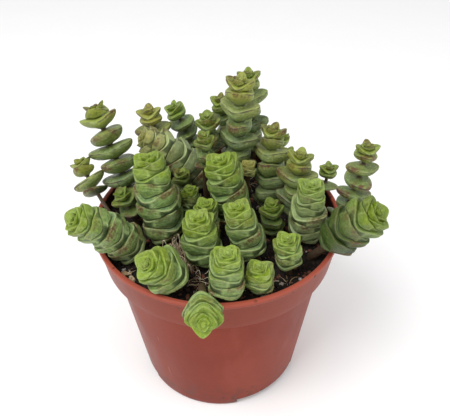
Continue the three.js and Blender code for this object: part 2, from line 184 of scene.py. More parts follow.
class Stem:
    """One stem's row, with its curve as a table of points and slopes, and its leaf pairs."""

    STEPS = 200

    def __init__(self, row):
        self.name, base, tip, self.habit, self.leaf, self.step, self.bare, leans, turn = row
        self.base = base
        self.turn = math.radians(turn)
        self.radius = self.habit["stem"] * self.leaf
        low = np.array([*base, SOIL_LEVEL], float)
        high = np.array(tip, float)
        handle = HANDLE * np.linalg.norm(high - low)
        near = low + handle * self.leaning(high - low, leans[0])
        far = high - handle * self.leaning(high - low, leans[1])
        t = np.linspace(0, 1, self.STEPS + 1)[:, None]
        points = (1 - t) ** 3 * low + 3 * t * (1 - t) ** 2 * near + 3 * t**2 * (1 - t) * far + t**3 * high
        slopes = (1 - t) ** 2 * (near - low) + 2 * t * (1 - t) * (far - near) + t**2 * (high - far)
        legs = np.linalg.norm(np.diff(points, axis=0), axis=1)
        self.along = np.concatenate([[0], np.cumsum(legs)])
        self.length = self.along[-1]
        self.points = points
        self.slopes = slopes / np.linalg.norm(slopes, axis=1)[:, None]
        self.pairs = self.grow()

    @staticmethod
    def leaning(way, lean):
        """A direction that leans so many degrees from upright, towards where the stem goes."""
        flat = np.array([way[0], way[1], 0])
        flat /= np.linalg.norm(flat)
        return flat * math.sin(math.radians(lean)) + np.array([0, 0, 1]) * math.cos(math.radians(lean))

    def chance(self, index, use):
        """A seeded draw from -1 to 1, the same each time for one pair and use."""
        seed = self.base[0] * 12.9 + self.base[1] * 78.2 + index * 37.7 + use * 4.1
        draw = math.sin(seed) * 4375.85
        return 2 * (draw - math.floor(draw)) - 1

    def grow(self):
        """The pairs from the lowest up, with two tiny ones in the bud that the solids leave out."""
        pairs = []
        place = self.length
        for size, rise, below in self.habit["young"]:
            place -= max(below * self.leaf, CLOSEST)
            pairs.append({"place": place, "half": size * self.leaf, "rise": rise * size * self.leaf,
                          "broad": self.habit["young_broad"], "blunt": self.habit["young_blunt"]})
        place -= self.step
        while place > self.bare:
            pairs.append({"place": place, "half": self.leaf, "rise": self.habit["rise"] * self.leaf,
                          "broad": self.habit["broad"], "blunt": self.habit["blunt"]})
            place -= self.step
        for index, pair in enumerate(pairs):
            uneven = 1 if index > 1 else 0
            pair["half"] *= 1 + UNEVEN_SIZE * uneven * self.chance(index, 1)
            pair["below"] = self.habit["below"]
            pair["turn"] = index * TURN / 4 + UNEVEN_TURN * uneven * self.chance(index, 2)
            pair["bigger"] = UNEVEN_SIDES * self.chance(index, 3)
            pair["tilt"] = UNEVEN_TILT * uneven * self.chance(index, 4)
            pair["tilt_to"] = math.pi * self.chance(index, 5)
            pair["waves"] = [(k, WAVE_SIZE * self.chance(index, 5 + k), math.pi * self.chance(index, 9 + k))
                             for k in WAVES]
            pair["tone"] = (self.chance(index, 20), self.chance(index, 21))
            pair["red"] = (self.chance(index, 22), self.chance(index, 23))
        pairs[-1]["half"] *= LOWEST_SIZE
        pairs[-1]["below"] *= LOWEST_DEPTH
        bud = pairs[0]
        for index, size in enumerate(BUD_SIZES, 1):
            inner = dict(bud)
            inner["half"] = bud["half"] * size
            inner["place"] = bud["place"] + BUD_STEP * self.leaf * index
            inner["rise"] = bud["rise"] * size * BUD_RISE
            inner["turn"] = bud["turn"] - index * TURN / 4
            inner["tilt"] = 0
            pairs.insert(0, inner)
        return pairs[::-1]

    def reach(self, pair, around):
        """How far a pair's margin is from the stem's middle."""
        c = np.cos(around - pair["turn"])
        s = np.sin(around - pair["turn"])
        blunt = pair["blunt"]
        out = pair["half"] / (abs(c) ** blunt + abs(s / pair["broad"]) ** blunt) ** (1 / blunt)
        wave = sum(size * np.sin(k * around + phase) for k, size, phase in pair["waves"])
        point = self.habit["point"] * abs(c) ** TIP_SHARPNESS
        return out * (1 + pair["bigger"] * c + wave + point)

    def face(self, pair, around, out, side):
        """The height of a pair's upper (side 1) or lower (side -1) face."""
        share = np.minimum(out / self.reach(pair, around), 1)
        rise = pair["rise"] * abs(np.cos(around - pair["turn"])) ** RISE_AROUND
        middle = rise * share**RISE_OUTWARD - self.habit["dish"] * pair["half"] * (1 - share**2)
        full = self.habit["above"] if side > 0 else -pair["below"]
        tilt = pair["tilt"] * out * np.cos(around - pair["tilt_to"])
        thick = full * pair["half"] * (1 - share ** self.habit["full"]) ** self.habit["root"]
        return pair["place"] + middle + tilt + thick

    def top(self, index, around, out):
        """The height of a pair's upper face where it lies on the pairs just under it, kept clear of them."""
        first = max(index - NESTED, 0)
        height = self.face(self.pairs[first], around, out, 1)
        for pair in self.pairs[first + 1:index + 1]:
            height = np.maximum(height + LEAF_GAP, self.face(pair, around, out, 1))
        return height

    def on_curve(self, table, along):
        """A table's values at those distances along the curve."""
        return np.stack([np.interp(along, self.along, table[:, k]) for k in range(3)], -1)

    def bend(self, out, around, height):
        """Puts points of the straight stack onto the stem's curve."""
        along = np.clip(height, 0, self.length)
        spot = self.on_curve(self.points, along)
        up = self.on_curve(self.slopes, along)
        up[height < 0] = (0, 0, 1)
        up /= np.linalg.norm(up, axis=-1)[..., None]
        angle = around + self.turn
        flat = np.stack([out * np.cos(angle), out * np.sin(angle), np.zeros_like(out)], -1)
        half_way = up + (0, 0, 1)
        lean = (flat * up).sum(-1, keepdims=True) / half_way[..., 2:3]
        return spot + flat - lean * half_way + (height - along)[..., None] * up

    def on_axis(self, height):
        """The point of the stem's curve at that height of the straight stack."""
        return self.bend(np.zeros(1), np.zeros(1), np.array([float(height)]))[0]


# Where a pair's rings lie between the fold (0) and the margin (1), on its belly and on its upper face.
BELLY_RINGS = (0.25, 0.5, 0.7, 0.84, 0.93, 0.98, 1.0)
TOP_RINGS = (0.988, 0.94, 0.84, 0.68, 0.45, 0.2)
OPEN_CREASE = 3


def foot_rings(stem, ring):
    """The root, a little thinner at its end, and the bare stalk, which swells a little here and there."""
    lowest = stem.pairs[0]
    low_end = lowest["place"] - lowest["below"] * lowest["half"] - stem.radius
    ring(stem.radius * 0.9, -ROOT_DEPTH, bark=1)
    ring(stem.radius, -ROOT_DEPTH * 0.9, bark=1)
    for share in np.linspace(0, 1, 6):
        swell = 1 + 0.06 * math.sin(share * 9 + stem.base[0])
        ring(stem.radius * swell, share * low_end, bark=1)


def fold_radius(stem, pair, over):
    """How far from the axis the fold between a pair and the one over it lies."""
    if over is None:
        return 0.1 * pair["half"]
    inner = min(over["half"], pair["half"])
    return max(stem.habit["fold"] * inner, min(stem.radius, NECK_SHARE * inner))


def stem_rings(stem, around):
    """The rings of a stem from its root up: distances out, heights, and what the material reads."""
    rings = []
    pairs = stem.pairs
    lip = stem.habit["lip"]

    def ring(out, height, pair=None, under=0, crease=0, bark=0, edge=False):
        row = {"out": out, "height": height, "under": under, "crease_mm": crease, "bark": bark,
               "edge": edge, "tipward": 0, "across_mm": 0, "tone": 0, "red": 0}
        if pair:
            turn = around - pair["turn"]
            row["tipward"] = abs(np.cos(turn))
            row["across_mm"] = np.arcsin(np.sin(turn)) * pair["half"]
            for key in ("tone", "red"):
                row[key] = np.where(np.cos(turn) > 0, *pair[key])
        rings.append({key: value * np.ones_like(around) for key, value in row.items()})

    foot_rings(stem, ring)
    fold = np.full_like(around, stem.radius)
    for index, pair in enumerate(pairs):
        over = pairs[index + 1] if index + 1 < len(pairs) else None
        reach = stem.reach(pair, around)
        margin = stem.top(index, around, reach)
        deep = pair["below"] * pair["half"]
        for share in BELLY_RINGS:
            out = fold + (reach - lip - fold) * share
            height = stem.face(pair, around, out, -1)
            fall = np.clip((margin - height) / deep, 0, 1)
            out = out + stem.habit["bulge"] * pair["half"] * 4 * fall * (1 - fall)
            crease = height - pair["place"] + deep
            if index:
                seat = stem.top(index - 1, around, out) + LEAF_GAP
                crease = height - seat
                height = np.maximum(height, seat)
            crease = np.maximum(crease, 0)
            ring(out, height, pair, under=1, crease=crease)
        ring(reach - 0.25 * lip, margin - 0.8 * lip, pair, under=1, crease=crease)
        ring(reach, margin, pair, under=0.5, crease=crease, edge=True)
        fold = np.full_like(around, fold_radius(stem, pair, over))
        for share in TOP_RINGS:
            out = fold + (reach - fold) * share
            height = stem.top(index, around, out)
            crease = np.maximum(stem.face(over, around, out, -1) - height, 0) if over else OPEN_CREASE
            ring(out, height, pair, crease=crease)
        if over:
            low = stem.top(index, around, fold)
            high = np.maximum(low + LEAF_GAP, stem.face(over, around, fold, -1))
            bark = 1 if stem.habit is LEGGY else 0
            ring(fold, low + (high - low) / 3, pair, bark=bark)
            ring(fold, low + (high - low) * 2 / 3, over, under=1, bark=bark)
    return rings


def new_mesh(name, spots, faces):
    """A smooth mesh of points that are given in millimetres."""
    mesh = bpy.data.meshes.new(name)
    mesh.from_pydata((np.asarray(spots) * MM).tolist(), [], faces)
    mesh.shade_smooth()
    return mesh


def closed_lathe(name, positions, first, last):
    """A closed mesh of rings (rings, around, 3), between two pole points."""
    count, sides = positions.shape[:2]
    spots = np.concatenate([[first], positions.reshape(-1, 3), [last]])
    ring = 1 + np.arange(count * sides).reshape(count, sides)
    after = np.roll(ring, -1, axis=1)
    quads = np.stack([ring[:-1], after[:-1], after[1:], ring[1:]], -1).reshape(-1, 4)
    bottom = np.stack([np.zeros(sides, int), after[0], ring[0]], -1)
    top = np.stack([np.full(sides, len(spots) - 1), ring[-1], after[-1]], -1)
    return new_mesh(name, spots, quads.tolist() + bottom.tolist() + top.tolist())


def set_attribute(mesh, name, values):
    """Stores one number for each vertex, which a material can read by its name."""
    layer = mesh.attributes.new(name, "FLOAT", "POINT")
    layer.data.foreach_set("value", np.asarray(values, np.float32))


def new_object(name, data):
    made = bpy.data.objects.new(name, data)
    bpy.context.scene.collection.objects.link(made)
    return made


def add_piece(name, mesh, material, slot, *nodes):
    piece = new_object(name, mesh)
    mesh.materials.append(material)
    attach(piece, "root")
    if nodes:
        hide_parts(*nodes)
    return piece


# Leaves are fully aged so many half-lengths below the tip.
AGED_BELOW = 4.2
LEAST_SIDES = 18
FAR = 99.0


def margin_distance(edges, spots):
    """How far each point is from the nearest margin, along the surface up or down."""
    steps = np.linalg.norm(np.diff(spots, axis=0), axis=-1)
    arc = np.concatenate([np.zeros((1, spots.shape[1])), np.cumsum(steps, axis=0)])
    margin = np.full(arc.shape, FAR)
    for place in arc[edges[:, 0] > 0]:
        margin = np.minimum(margin, abs(arc - place))
    return margin


def stem_mesh(stem):
    """A stem's mesh, with all that its material reads of each point."""
    sides = 2 * int(LEAST_SIDES + stem.leaf)
    around = np.arange(sides) / sides * TURN
    rings = stem_rings(stem, around)
    values = {key: np.stack([ring[key] for ring in rings]) for key in rings[0]}
    out, height, edges = (values.pop(key) for key in ("out", "height", "edge"))
    bud = stem.pairs[-1]
    root = stem.on_axis(-ROOT_DEPTH)
    tip = stem.on_axis(bud["place"] + bud["half"] * stem.habit["above"])
    mesh = closed_lathe("stem_" + stem.name, stem.bend(out, around, height), root, tip)

    *tints, older = TINTS.get(stem.name, USUAL)
    age = np.clip((stem.length - height) / (AGED_BELOW * stem.leaf), 0, 1)
    straight = np.stack([out * np.cos(around), out * np.sin(around), height], -1)
    values["margin_mm"] = margin_distance(edges, straight)
    values["age"] = older + (1 - older) * age
    for key, tint in zip(("blush", "yellow", "pale"), tints):
        values[key] = np.full(out.shape, float(tint))
    for key, grid in values.items():
        set_attribute(mesh, key, np.concatenate([[grid[0, 0]], grid.ravel(), [grid[-1, 0]]]))
    return mesh


class Shader:
    """A material's node tree. Its look holds colours by name, which are painted one over the other."""

    def __init__(self, name, look):
        self.material = bpy.data.materials.new(name)
        self.material.use_nodes = True
        self.tree = self.material.node_tree
        self.surface = self.tree.nodes["Principled BSDF"]
        self.place = self.add("TexCoord").outputs["Object"]
        self.look = look
        self.painted = None

    def add(self, kind, inputs=(), **settings):
        node = self.tree.nodes.new("ShaderNode" + kind)
        for key, value in settings.items():
            setattr(node, key, value)
        for key, value in dict(inputs).items():
            self.feed(node.inputs[key], value)
        return node

    def feed(self, socket, value):
        if isinstance(value, bpy.types.NodeSocket):
            self.tree.links.new(value, socket)
        else:
            socket.default_value = value

    def attribute(self, name):
        return self.add("Attribute", attribute_name=name).outputs["Fac"]

    def math(self, kind, a, b=0):
        return self.add("Math", {0: a, 1: b}, operation=kind).outputs[0]

    def times(self, value, *others):
        for other in others:
            value = self.math("MULTIPLY", value, other)
        return value

    def step(self, value, low, high, start=0, end=1):
        """A smooth step from start to end as value goes from low to high."""
        node = self.add("MapRange", {0: value, 1: low, 2: high, 3: start, 4: end},
                        interpolation_type="SMOOTHSTEP")
        return node.outputs[0]

    def mix(self, factor, a, b, kind="MIX"):
        """Mixes two colours, each a socket or a name in the look."""
        node = self.add("Mix", data_type="RGBA", blend_type=kind)
        self.feed(node.inputs[0], factor)
        for socket, colour in ((6, a), (7, b)):
            self.feed(node.inputs[socket], (*self.look[colour], 1) if isinstance(colour, str) else colour)
        return node.outputs[2]

    def paint(self, colour, *factors, kind="MIX"):
        """Lays a colour over what is painted so far, as strongly as the product of the factors."""
        self.painted = self.mix(self.times(*factors), self.painted, colour, kind)

    def stretched(self, scale):
        return self.add("Mapping", {0: self.place, 3: scale}).outputs[0]

    def noise(self, scale, detail=3, vector=None, roughness=0.5):
        """A noise from 0 to 1. Its scale is in cells per metre, or per unit of the vector given."""
        inputs = {"Vector": self.place if vector is None else vector, "Scale": scale,
                  "Detail": detail, "Roughness": roughness}
        return self.add("TexNoise", inputs).outputs["Fac"]

    def patches(self, scale, low, high, detail=3, most=1):
        """Soft patches, up to most, where a noise goes from low to high."""
        return self.step(self.noise(scale, detail), low, high, 0, most)

    def dots(self, scale):
        """The distance from the nearest of many scattered points, as a share of their spacing."""
        return self.add("TexVoronoi", {"Vector": self.place, "Scale": scale}).outputs["Distance"]

    def bump(self, height, strength, distance):
        node = self.add("Bump", {"Height": height, "Strength": strength, "Distance": distance})
        self.feed(self.surface.inputs["Normal"], node.outputs[0])

    def finish(self, **sockets):
        """Gives the surface its painted colour and the other values named."""
        self.feed(self.surface.inputs["Base Color"], self.painted)
        for key, value in sockets.items():
            self.feed(self.surface.inputs[key.replace("_", " ")], value)
        return self.material


# The colours that both kinds of leaf have.
LEAF = {
    "yellow": (0.45, 0.34, 0.04), "bluish": (0.2, 0.31, 0.17), "olive": (0.13, 0.155, 0.03),
    "lighter": (0.33, 0.43, 0.13), "darker": (0.07, 0.12, 0.04), "bloom": (0.26, 0.31, 0.2),
    "pale_streak": (0.36, 0.44, 0.21), "dark_streak": (0.06, 0.1, 0.03), "speck": (0.04, 0.075, 0.025),
    # pale is partly a paler tone and partly painted light, on stems that stand in shade.
    "pale_mottle": (0.36, 0.49, 0.11), "dark_mottle": (0.06, 0.11, 0.02), "pale": (0.5, 0.57, 0.29),
    # crease is painted shade for the creases.
    "shadow": (0.3, 0.33, 0.18), "blush": (0.13, 0.052, 0.024), "crease": (0.02, 0.036, 0.008),
    "rim": (0.5, 0.54, 0.28), "dark_bark": (0.04, 0.022, 0.014), "pale_bark": (0.12, 0.075, 0.038),
}
# What tells the two apart: the colours of young, grown and old leaves, where the old colour is also painted
# shade low on the stems, of the edge and of the line on it, both with a width in millimetres and a strength,
# the rim's strength, how far the red-brown patches reach in from the margin, and how much of the patches and
# the line the youngest leaves have.
PLUMP_LOOK = {
    **LEAF, "young": (0.23, 0.37, 0.008), "green": (0.185, 0.315, 0.092), "old": (0.13, 0.205, 0.075),
    "edge": (0.45, 0.54, 0.21), "edge_width": 1, "edge_strength": 0.55, "rim_strength": 1,
    "line": (0.12, 0.06, 0.03), "line_width": 0.28, "line_strength": 0.6, "reach": 3.6, "early": 0.2,
}
OPEN_LOOK = {
    **LEAF, "young": (0.21, 0.31, 0.022), "green": (0.155, 0.225, 0.056), "old": (0.1, 0.148, 0.052),
    "edge": (0.34, 0.4, 0.17), "edge_width": 1.2, "edge_strength": 0.35, "rim_strength": 0,
    "line": (0.07, 0.038, 0.032), "line_width": 0.5, "line_strength": 0.9, "reach": 3.4, "early": 0.8,
}


class LeafShader(Shader):
    """A leaf's node tree, with what its mesh says of each point and the masks that several layers share."""

    def __init__(self, name, look):
        super().__init__(name, look)
        self.margin = self.attribute("margin_mm")
        self.crease = self.attribute("crease_mm")
        self.tipward = self.attribute("tipward")
        self.tone = self.attribute("tone")
        self.pale = self.attribute("pale")
        self.age = self.attribute("age")
        self.broad = self.noise(160)
        self.mottle = self.noise(900, 4, roughness=0.7)
        self.aged = self.math("ADD", self.age, self.times(self.math("SUBTRACT", self.broad, 0.5), 0.4))
        self.older = self.step(self.aged, 0, 0.4, 0.3, 1)
        # Painted shade on stems that stand in the others' shadow, weaker at the crown; lit is what it leaves
        # lit.
        dark = self.math("MAXIMUM", self.times(self.pale, -1), 0)
        self.dark = self.times(dark, self.step(self.age, 0.05, 0.5, 0.3, 0.8))
        self.lit = self.math("SUBTRACT", 1, self.times(self.dark, 0.9))


def paint_greens(s):
    """Lime at the crown, green lower down, dull and darker at the foot (age and painted shade), and some
    crowns' yellow.
    """
    s.painted = s.mix(s.step(s.aged, 0.02, 0.29), "young", "green")
    # Old leaves' duller colour, partly painted shade that darkens the stems low down.
    s.paint("old", s.step(s.aged, 0.4, 1))
    s.paint("yellow", s.attribute("yellow"), s.step(s.aged, 0.7, 0.05), 0.75)


def paint_clouds(s):
    """Bluish clouds away from the tip, olive ones in from the margin, and the leaf's own tone."""
    s.paint("bluish", s.step(s.tipward, 0.75, 0.2), s.patches(75, 0.35, 0.6), s.older, 0.55)
    s.paint("olive", s.step(s.margin, 0.5, 1.5), s.patches(110, 0.42, 0.6), s.older, 0.45)
    s.paint("lighter", s.step(s.tone, 0, 1, 0, 0.3))
    s.paint("darker", s.step(s.tone, 0, -1, 0, 0.3))


def paint_streaks(s):
    """Streaks from the margin inwards, other ones on each leaf, and a fine mottle. Returns the streaks."""
    across = s.times(s.attribute("across_mm"), 0.3)
    spot = s.add("CombineXYZ", {0: across, 1: s.times(s.margin, 1.5), 2: s.times(s.tone, 9)})
    streaks = s.noise(1.1, 3, spot.outputs[0], 0.6)
    s.paint("pale_streak", s.step(streaks, 0.52, 0.7, 0, 0.55), s.older)
    s.paint("dark_streak", s.step(streaks, 0.48, 0.3, 0, 0.6), s.older)
    s.paint("pale_mottle", s.step(s.mottle, 0.51, 0.68, 0, 0.5))
    s.paint("dark_mottle", s.step(s.mottle, 0.49, 0.32, 0, 0.55))
    return streaks


def paint_bloom(s):
    """A dull bloom and specks on older leaves, then pale stems' tone and painted light, and dark stems'
    painted shade.
    """
    s.paint("bloom", s.patches(90, 0.45, 0.7, 4), s.step(s.age, 0.2, 1, 0, 0.5))
    s.paint("speck", s.step(s.dots(1300), 0.34, 0.16), s.step(s.age, 0.1, 0.6, 0.05, 0.6))
    # Partly a paler tone and partly painted light, then painted shade that darkens the shaded stems.
    s.paint("pale", s.math("MAXIMUM", s.pale, 0), s.step(s.age, 0, 0.35, 0.25, 0.6))
    s.paint("shadow", s.dark, kind="MULTIPLY")


def paint_edge(s):
    """The pale translucent edge, and a pale foot on the belly just over the crease."""
    strength = s.look["edge_strength"]
    edge = s.times(s.step(s.margin, s.look["edge_width"], 0), s.step(s.broad, 0.3, 0.6, 0.35, 1))
    edge = s.times(edge, s.step(s.aged, 0, 0.35, 0.4 * strength, strength))
    foot = s.times(s.step(s.crease, 0.35, 0.9), s.step(s.crease, 1.7, 1), s.attribute("under"), 0.35)
    s.paint("edge", s.math("MAXIMUM", edge, foot), s.lit)


def paint_blush(s):
    """Red-brown patches near the tips of some leaves."""
    near_tip = s.times(s.step(s.margin, s.look["reach"], 0.2), s.step(s.tipward, 0.4, 0.95))
    speckled = s.times(s.patches(230, 0.36, 0.56, 4), s.step(s.mottle, 0.6, 0.42, 0.3, 1))
    chosen = s.step(s.attribute("red"), -0.3, 0.4, 0.1, 1)
    ripe = s.step(s.aged, 0, 0.4, s.look["early"], 1)
    blush = s.times(near_tip, speckled, chosen, ripe, s.attribute("blush"))
    s.paint("blush", s.math("MINIMUM", blush, 0.9))


def paint_margin(s):
    """Painted shade in the creases, then a broken pale rim and the fine line on the margin."""
    # Painted shade, darkest right in each crease and gone 0.6 mm from it.
    s.paint("crease", s.step(s.crease, 0.6, 0), s.step(s.age, 0, 0.35, 0.12, 0.75))
    rim = s.times(s.step(s.margin, 0.42, 0.15), s.patches(130, 0.4, 0.6, most=0.5), s.lit)
    s.paint("rim", rim, s.step(s.aged, 0.15, 0.5, 0, s.look["rim_strength"]))
    line = s.times(s.step(s.margin, s.look["line_width"], 0.06), s.patches(240, 0.38, 0.56))
    strength = s.look["line_strength"]
    s.paint("line", line, s.step(s.aged, 0.05, 0.4, s.look["early"] * strength, strength))


def leaf_material(name, look):
    """A fleshy leaf, painted in layers from its greens to its margin, with its bare stalk's bark."""
    s = LeafShader(name, look)
    paint_greens(s)
    paint_clouds(s)
    streaks = paint_streaks(s)
    paint_bloom(s)
    paint_edge(s)
    paint_blush(s)
    paint_margin(s)
    s.paint(s.mix(s.noise(900), "dark_bark", "pale_bark"), s.attribute("bark"))
    s.bump(s.math("ADD", s.times(s.mottle, 0.6), s.times(streaks, 1.1)), 0.6, 0.0008)
    rough = s.step(s.noise(300), 0.3, 0.7, 0.34, 0.54)
    return s.finish(Roughness=rough, IOR=1.42, Subsurface_Weight=0.12,
                    Subsurface_Radius=(0.0012, 0.0016, 0.0005), Subsurface_Scale=1)


# The collar colour is partly painted sheen, and the lip colour partly a painted highlight.
POT_LOOK = {
    "dark": (0.185, 0.0185, 0.0045), "light": (0.22, 0.026, 0.0075), "collar": (0.21, 0.042, 0.022),
    "lip": (0.42, 0.1, 0.065), "faded": (0.3, 0.068, 0.044), "scratch": (0.5, 0.26, 0.21),
    "dirt": (0.05, 0.018, 0.012), "grime": (0.1, 0.032, 0.02), "stain": (0.024, 0.013, 0.008),
}


def paint_plastic(s, height):
    """The blotched plastic, paler on the collar, partly faded and partly painted sheen, and on the lip,
    partly worn and partly a painted highlight.
    """
    collar_foot = POT_HEIGHT - COLLAR_HEIGHT
    s.painted = s.mix(s.patches(28, 0.35, 0.7, 4), "dark", "light")
    # Painted sheen, along with fading, on the collar.
    s.paint("collar", s.step(height, collar_foot, collar_foot + 2), 0.6)
    # Painted highlight, along with wear, on the lip.
    s.paint("lip", s.step(height, POT_HEIGHT - LIP_HEIGHT - 0.4, POT_HEIGHT - 0.4), 0.6)


def paint_wear(s):
    """Faded patches and fine upright scratches. Returns both."""
    fade = s.noise(70, 5, s.stretched((1, 1, 0.35)), 0.6)
    s.paint("faded", s.step(fade, 0.45, 0.72, 0, 0.4))
    scratch = s.noise(420, 2, s.stretched((1, 1, 0.06)))
    scratches = s.times(s.step(scratch, 0.68, 0.76), s.patches(45, 0.5, 0.62, 2))
    s.paint("scratch", scratches, 0.35)
    return fade, scratches


def paint_dirt(s, height):
    """Specks near the pot's two ends and grime at its foot."""
    ends = s.math("MAXIMUM", s.step(height, 20, 8), s.step(height, 74, 82))
    s.paint("dirt", s.step(s.dots(240), 0.24, 0.12), s.patches(60, 0.48, 0.6), ends, 0.8)
    s.paint("grime", s.step(height, 24, 0), s.patches(200, 0.46, 0.62, 5), 0.65)


def paint_stain(s, x, y, height):
    """Soil that stains the inner wall from just under the soil's top to just under the rim."""
    out = s.math("SQRT", s.math("ADD", s.math("POWER", x, 2), s.math("POWER", y, 2)))
    upright = s.math("SUBTRACT", out, s.times(height, COLLAR_SLOPE))
    middle = COLLAR_FOOT_RADIUS - WALL / 2 - (POT_HEIGHT - COLLAR_HEIGHT) * COLLAR_SLOPE
    s.paint("stain", s.step(upright, middle + 0.1, middle - 0.3),
            s.step(height, POT_HEIGHT - 0.2, POT_HEIGHT - 1.2),
            s.step(height, SOIL_LEVEL - 4, SOIL_LEVEL - 3), s.step(s.noise(150, 5), 0.3, 0.6, 0.75, 1))


def pot_material():
    s = Shader("pot_plastic", POT_LOOK)
    x, y, height = (s.times(axis, 1 / MM) for axis in s.add("SeparateXYZ", {0: s.place}).outputs)
    paint_plastic(s, height)
    fade, scratches = paint_wear(s)
    paint_dirt(s, height)
    paint_stain(s, x, y, height)
    s.bump(s.math("ADD", s.noise(900), s.times(scratches, -1.5)), 0.12, 0.0004)
    return s.finish(Roughness=s.step(fade, 0.3, 0.75, 0.34, 0.5), IOR=1.5, Specular_IOR_Level=0.14)


SOIL_LOOK = {
    "dark": (0.005, 0.004, 0.0035), "brown": (0.026, 0.017, 0.012), "reddish": (0.06, 0.026, 0.017),
    "bark": (0.19, 0.07, 0.04), "dull_grain": (0.3, 0.25, 0.2), "pale_grain": (0.55, 0.48, 0.4),
}
DRY_LOOK = {"brown": (0.32, 0.16, 0.055), "straw": (0.92, 0.82, 0.6), "streak": (0.12, 0.06, 0.03)}
GRAIN_LOOK = {"grey": (0.24, 0.235, 0.25), "cream": (0.56, 0.5, 0.44), "pit": (0.14, 0.11, 0.09)}
# Each crumb has a number from 0 to 1. Up to the first of these it is peat, then bark, then a pale grain.
BARK_FROM = 0.7
GRAIN_FROM = 0.94


def soil_material():
    s = Shader("soil_peat", SOIL_LOOK)
    kind = s.attribute("kind")
    fine = s.noise(700, 6, roughness=0.7)
    s.painted = s.mix(s.step(fine, 0.3, 0.7), "dark", "brown")
    s.paint("reddish", s.patches(260, 0.56, 0.7, 4, 0.7))
    bark = s.times(s.step(kind, BARK_FROM, BARK_FROM + 0.02), s.step(kind, GRAIN_FROM, GRAIN_FROM - 0.01))
    s.paint("bark", bark, 0.85)
    s.paint(s.mix(fine, "dull_grain", "pale_grain"), s.step(kind, GRAIN_FROM + 0.01, GRAIN_FROM + 0.02))
    s.bump(fine, 0.8, 0.0008)
    return s.finish(Roughness=0.9, IOR=1.4)


def dry_material():
    """Dry fibres and leaves, each from brown to straw by its tone."""
    s = Shader("dry_litter", DRY_LOOK)
    streak = s.noise(700, 4, roughness=0.7)
    s.painted = s.mix(s.attribute("tone"), "brown", "straw")
    s.paint("streak", s.step(streak, 0.5, 0.7, 0, 0.5))
    s.bump(streak, 0.5, 0.0004)
    return s.finish(Roughness=0.8, IOR=1.4)


def grain_material():
    """Perlite and small stones: off-white to grey, pitted."""
    s = Shader("pale_grain", GRAIN_LOOK)
    pits = s.noise(1500, 4, roughness=0.7)
    s.painted = s.mix(s.noise(120, 1), "grey", "cream")
    s.paint("pit", s.step(pits, 0.5, 0.7, 0, 0.6))
    s.bump(pits, 0.6, 0.0004)
    return s.finish(Roughness=0.8, IOR=1.45)


def lathe_profile(corners, steps):
    """A profile whose corners are rounded: each corner is (radius, height, rounding)."""
    points = []
    for index, (r, z, rounding) in enumerate(corners):
        spot = np.array([r, z], float)
        if not rounding:
            points.append(spot)
            continue
        legs = [np.array(corners[k][:2], float) - spot for k in (index - 1, index + 1)]
        a, b = (spot + leg * min(rounding / np.linalg.norm(leg), 0.5) for leg in legs)
        for t in np.linspace(0, 1, steps):
            points.append((1 - t) ** 2 * a + 2 * t * (1 - t) * spot + t**2 * b)
    return np.array(points)


def densify(points, longest):
    """Adds points so that no leg of the profile is longer than that."""
    full = [points[:1]]
    for a, b in zip(points, points[1:]):
        count = max(1, math.ceil(np.linalg.norm(b - a) / longest))
        full.append(np.linspace(a, b, count + 1)[1:])
    return np.concatenate(full)


def round_axis(radius, angle):
    """The x and y of a point so far from the axis and at that angle."""
    return radius * math.cos(angle), radius * math.sin(angle)


def turned(profile, sides):
    """The rings that a profile's points draw round the axis."""
    around = np.arange(sides) / sides * TURN
    return [[(*round_axis(r, t), z) for t in around] for r, z in profile]


CUT_PAST = 3
NOTCH_STEPS = 25
HOLE_SIDES = 40
HOLE_DEPTH = 10


def notch_cutter(angle):
    """A block bent round the axis that cuts one notch in the foot ring."""
    inner = FOOT_RADIUS - FOOT_RING_WIDTH - CUT_PAST
    outer = FOOT_RADIUS + CUT_PAST
    corners = ((inner, -CUT_PAST), (inner, FLOOR_UNDER), (outer, FLOOR_UNDER), (outer, -CUT_PAST))
    turns = np.linspace(angle - NOTCH_WIDTH / 2, angle + NOTCH_WIDTH / 2, NOTCH_STEPS)
    rings = np.array([[(*round_axis(r, t), z) for r, z in corners] for t in turns])
    return new_object("notch", closed_lathe("notch", rings, rings[0].mean(0), rings[-1].mean(0)))


def hole_cutter(angle):
    """A rod that cuts one drain hole."""
    foot = np.array((*round_axis(DRAIN_CIRCLE, angle), 0))
    rings = foot + turned([(DRAIN_RADIUS, 0), (DRAIN_RADIUS, HOLE_DEPTH)], HOLE_SIDES)
    return new_object("hole", closed_lathe("hole", rings, foot, foot + (0, 0, HOLE_DEPTH)))


def pot_corners():
    """The wall's outline from the middle of the underside out, up and back in: radius, height, rounding."""
    collar_foot = POT_HEIGHT - COLLAR_HEIGHT
    lip_foot = POT_HEIGHT - LIP_HEIGHT
    floor_top = FLOOR_UNDER + FLOOR
    ring_inner = FOOT_RADIUS - FOOT_RING_WIDTH
    return [
        (0, FLOOR_UNDER, 0), (ring_inner, FLOOR_UNDER, 0.5),
        (ring_inner, 0, 0.4), (FOOT_RADIUS - 0.3, 0, 1.6),
        (WALL_TOP_RADIUS, collar_foot, 0.5), (COLLAR_FOOT_RADIUS, collar_foot, 0.7),
        (RIM_RADIUS - LIP_OUT, lip_foot, 0.3), (RIM_RADIUS, lip_foot + 0.5, 0.3),
        (RIM_RADIUS, POT_HEIGHT, 0.6), (RIM_RADIUS - LIP_OUT - WALL, POT_HEIGHT, 0.5),
        (COLLAR_FOOT_RADIUS - WALL, collar_foot + WALL, 0.5),
        (WALL_TOP_RADIUS - WALL, collar_foot + WALL, 0.5),
        (FOOT_RADIUS - WALL, floor_top, 0.8), (0, floor_top, 0),
    ]


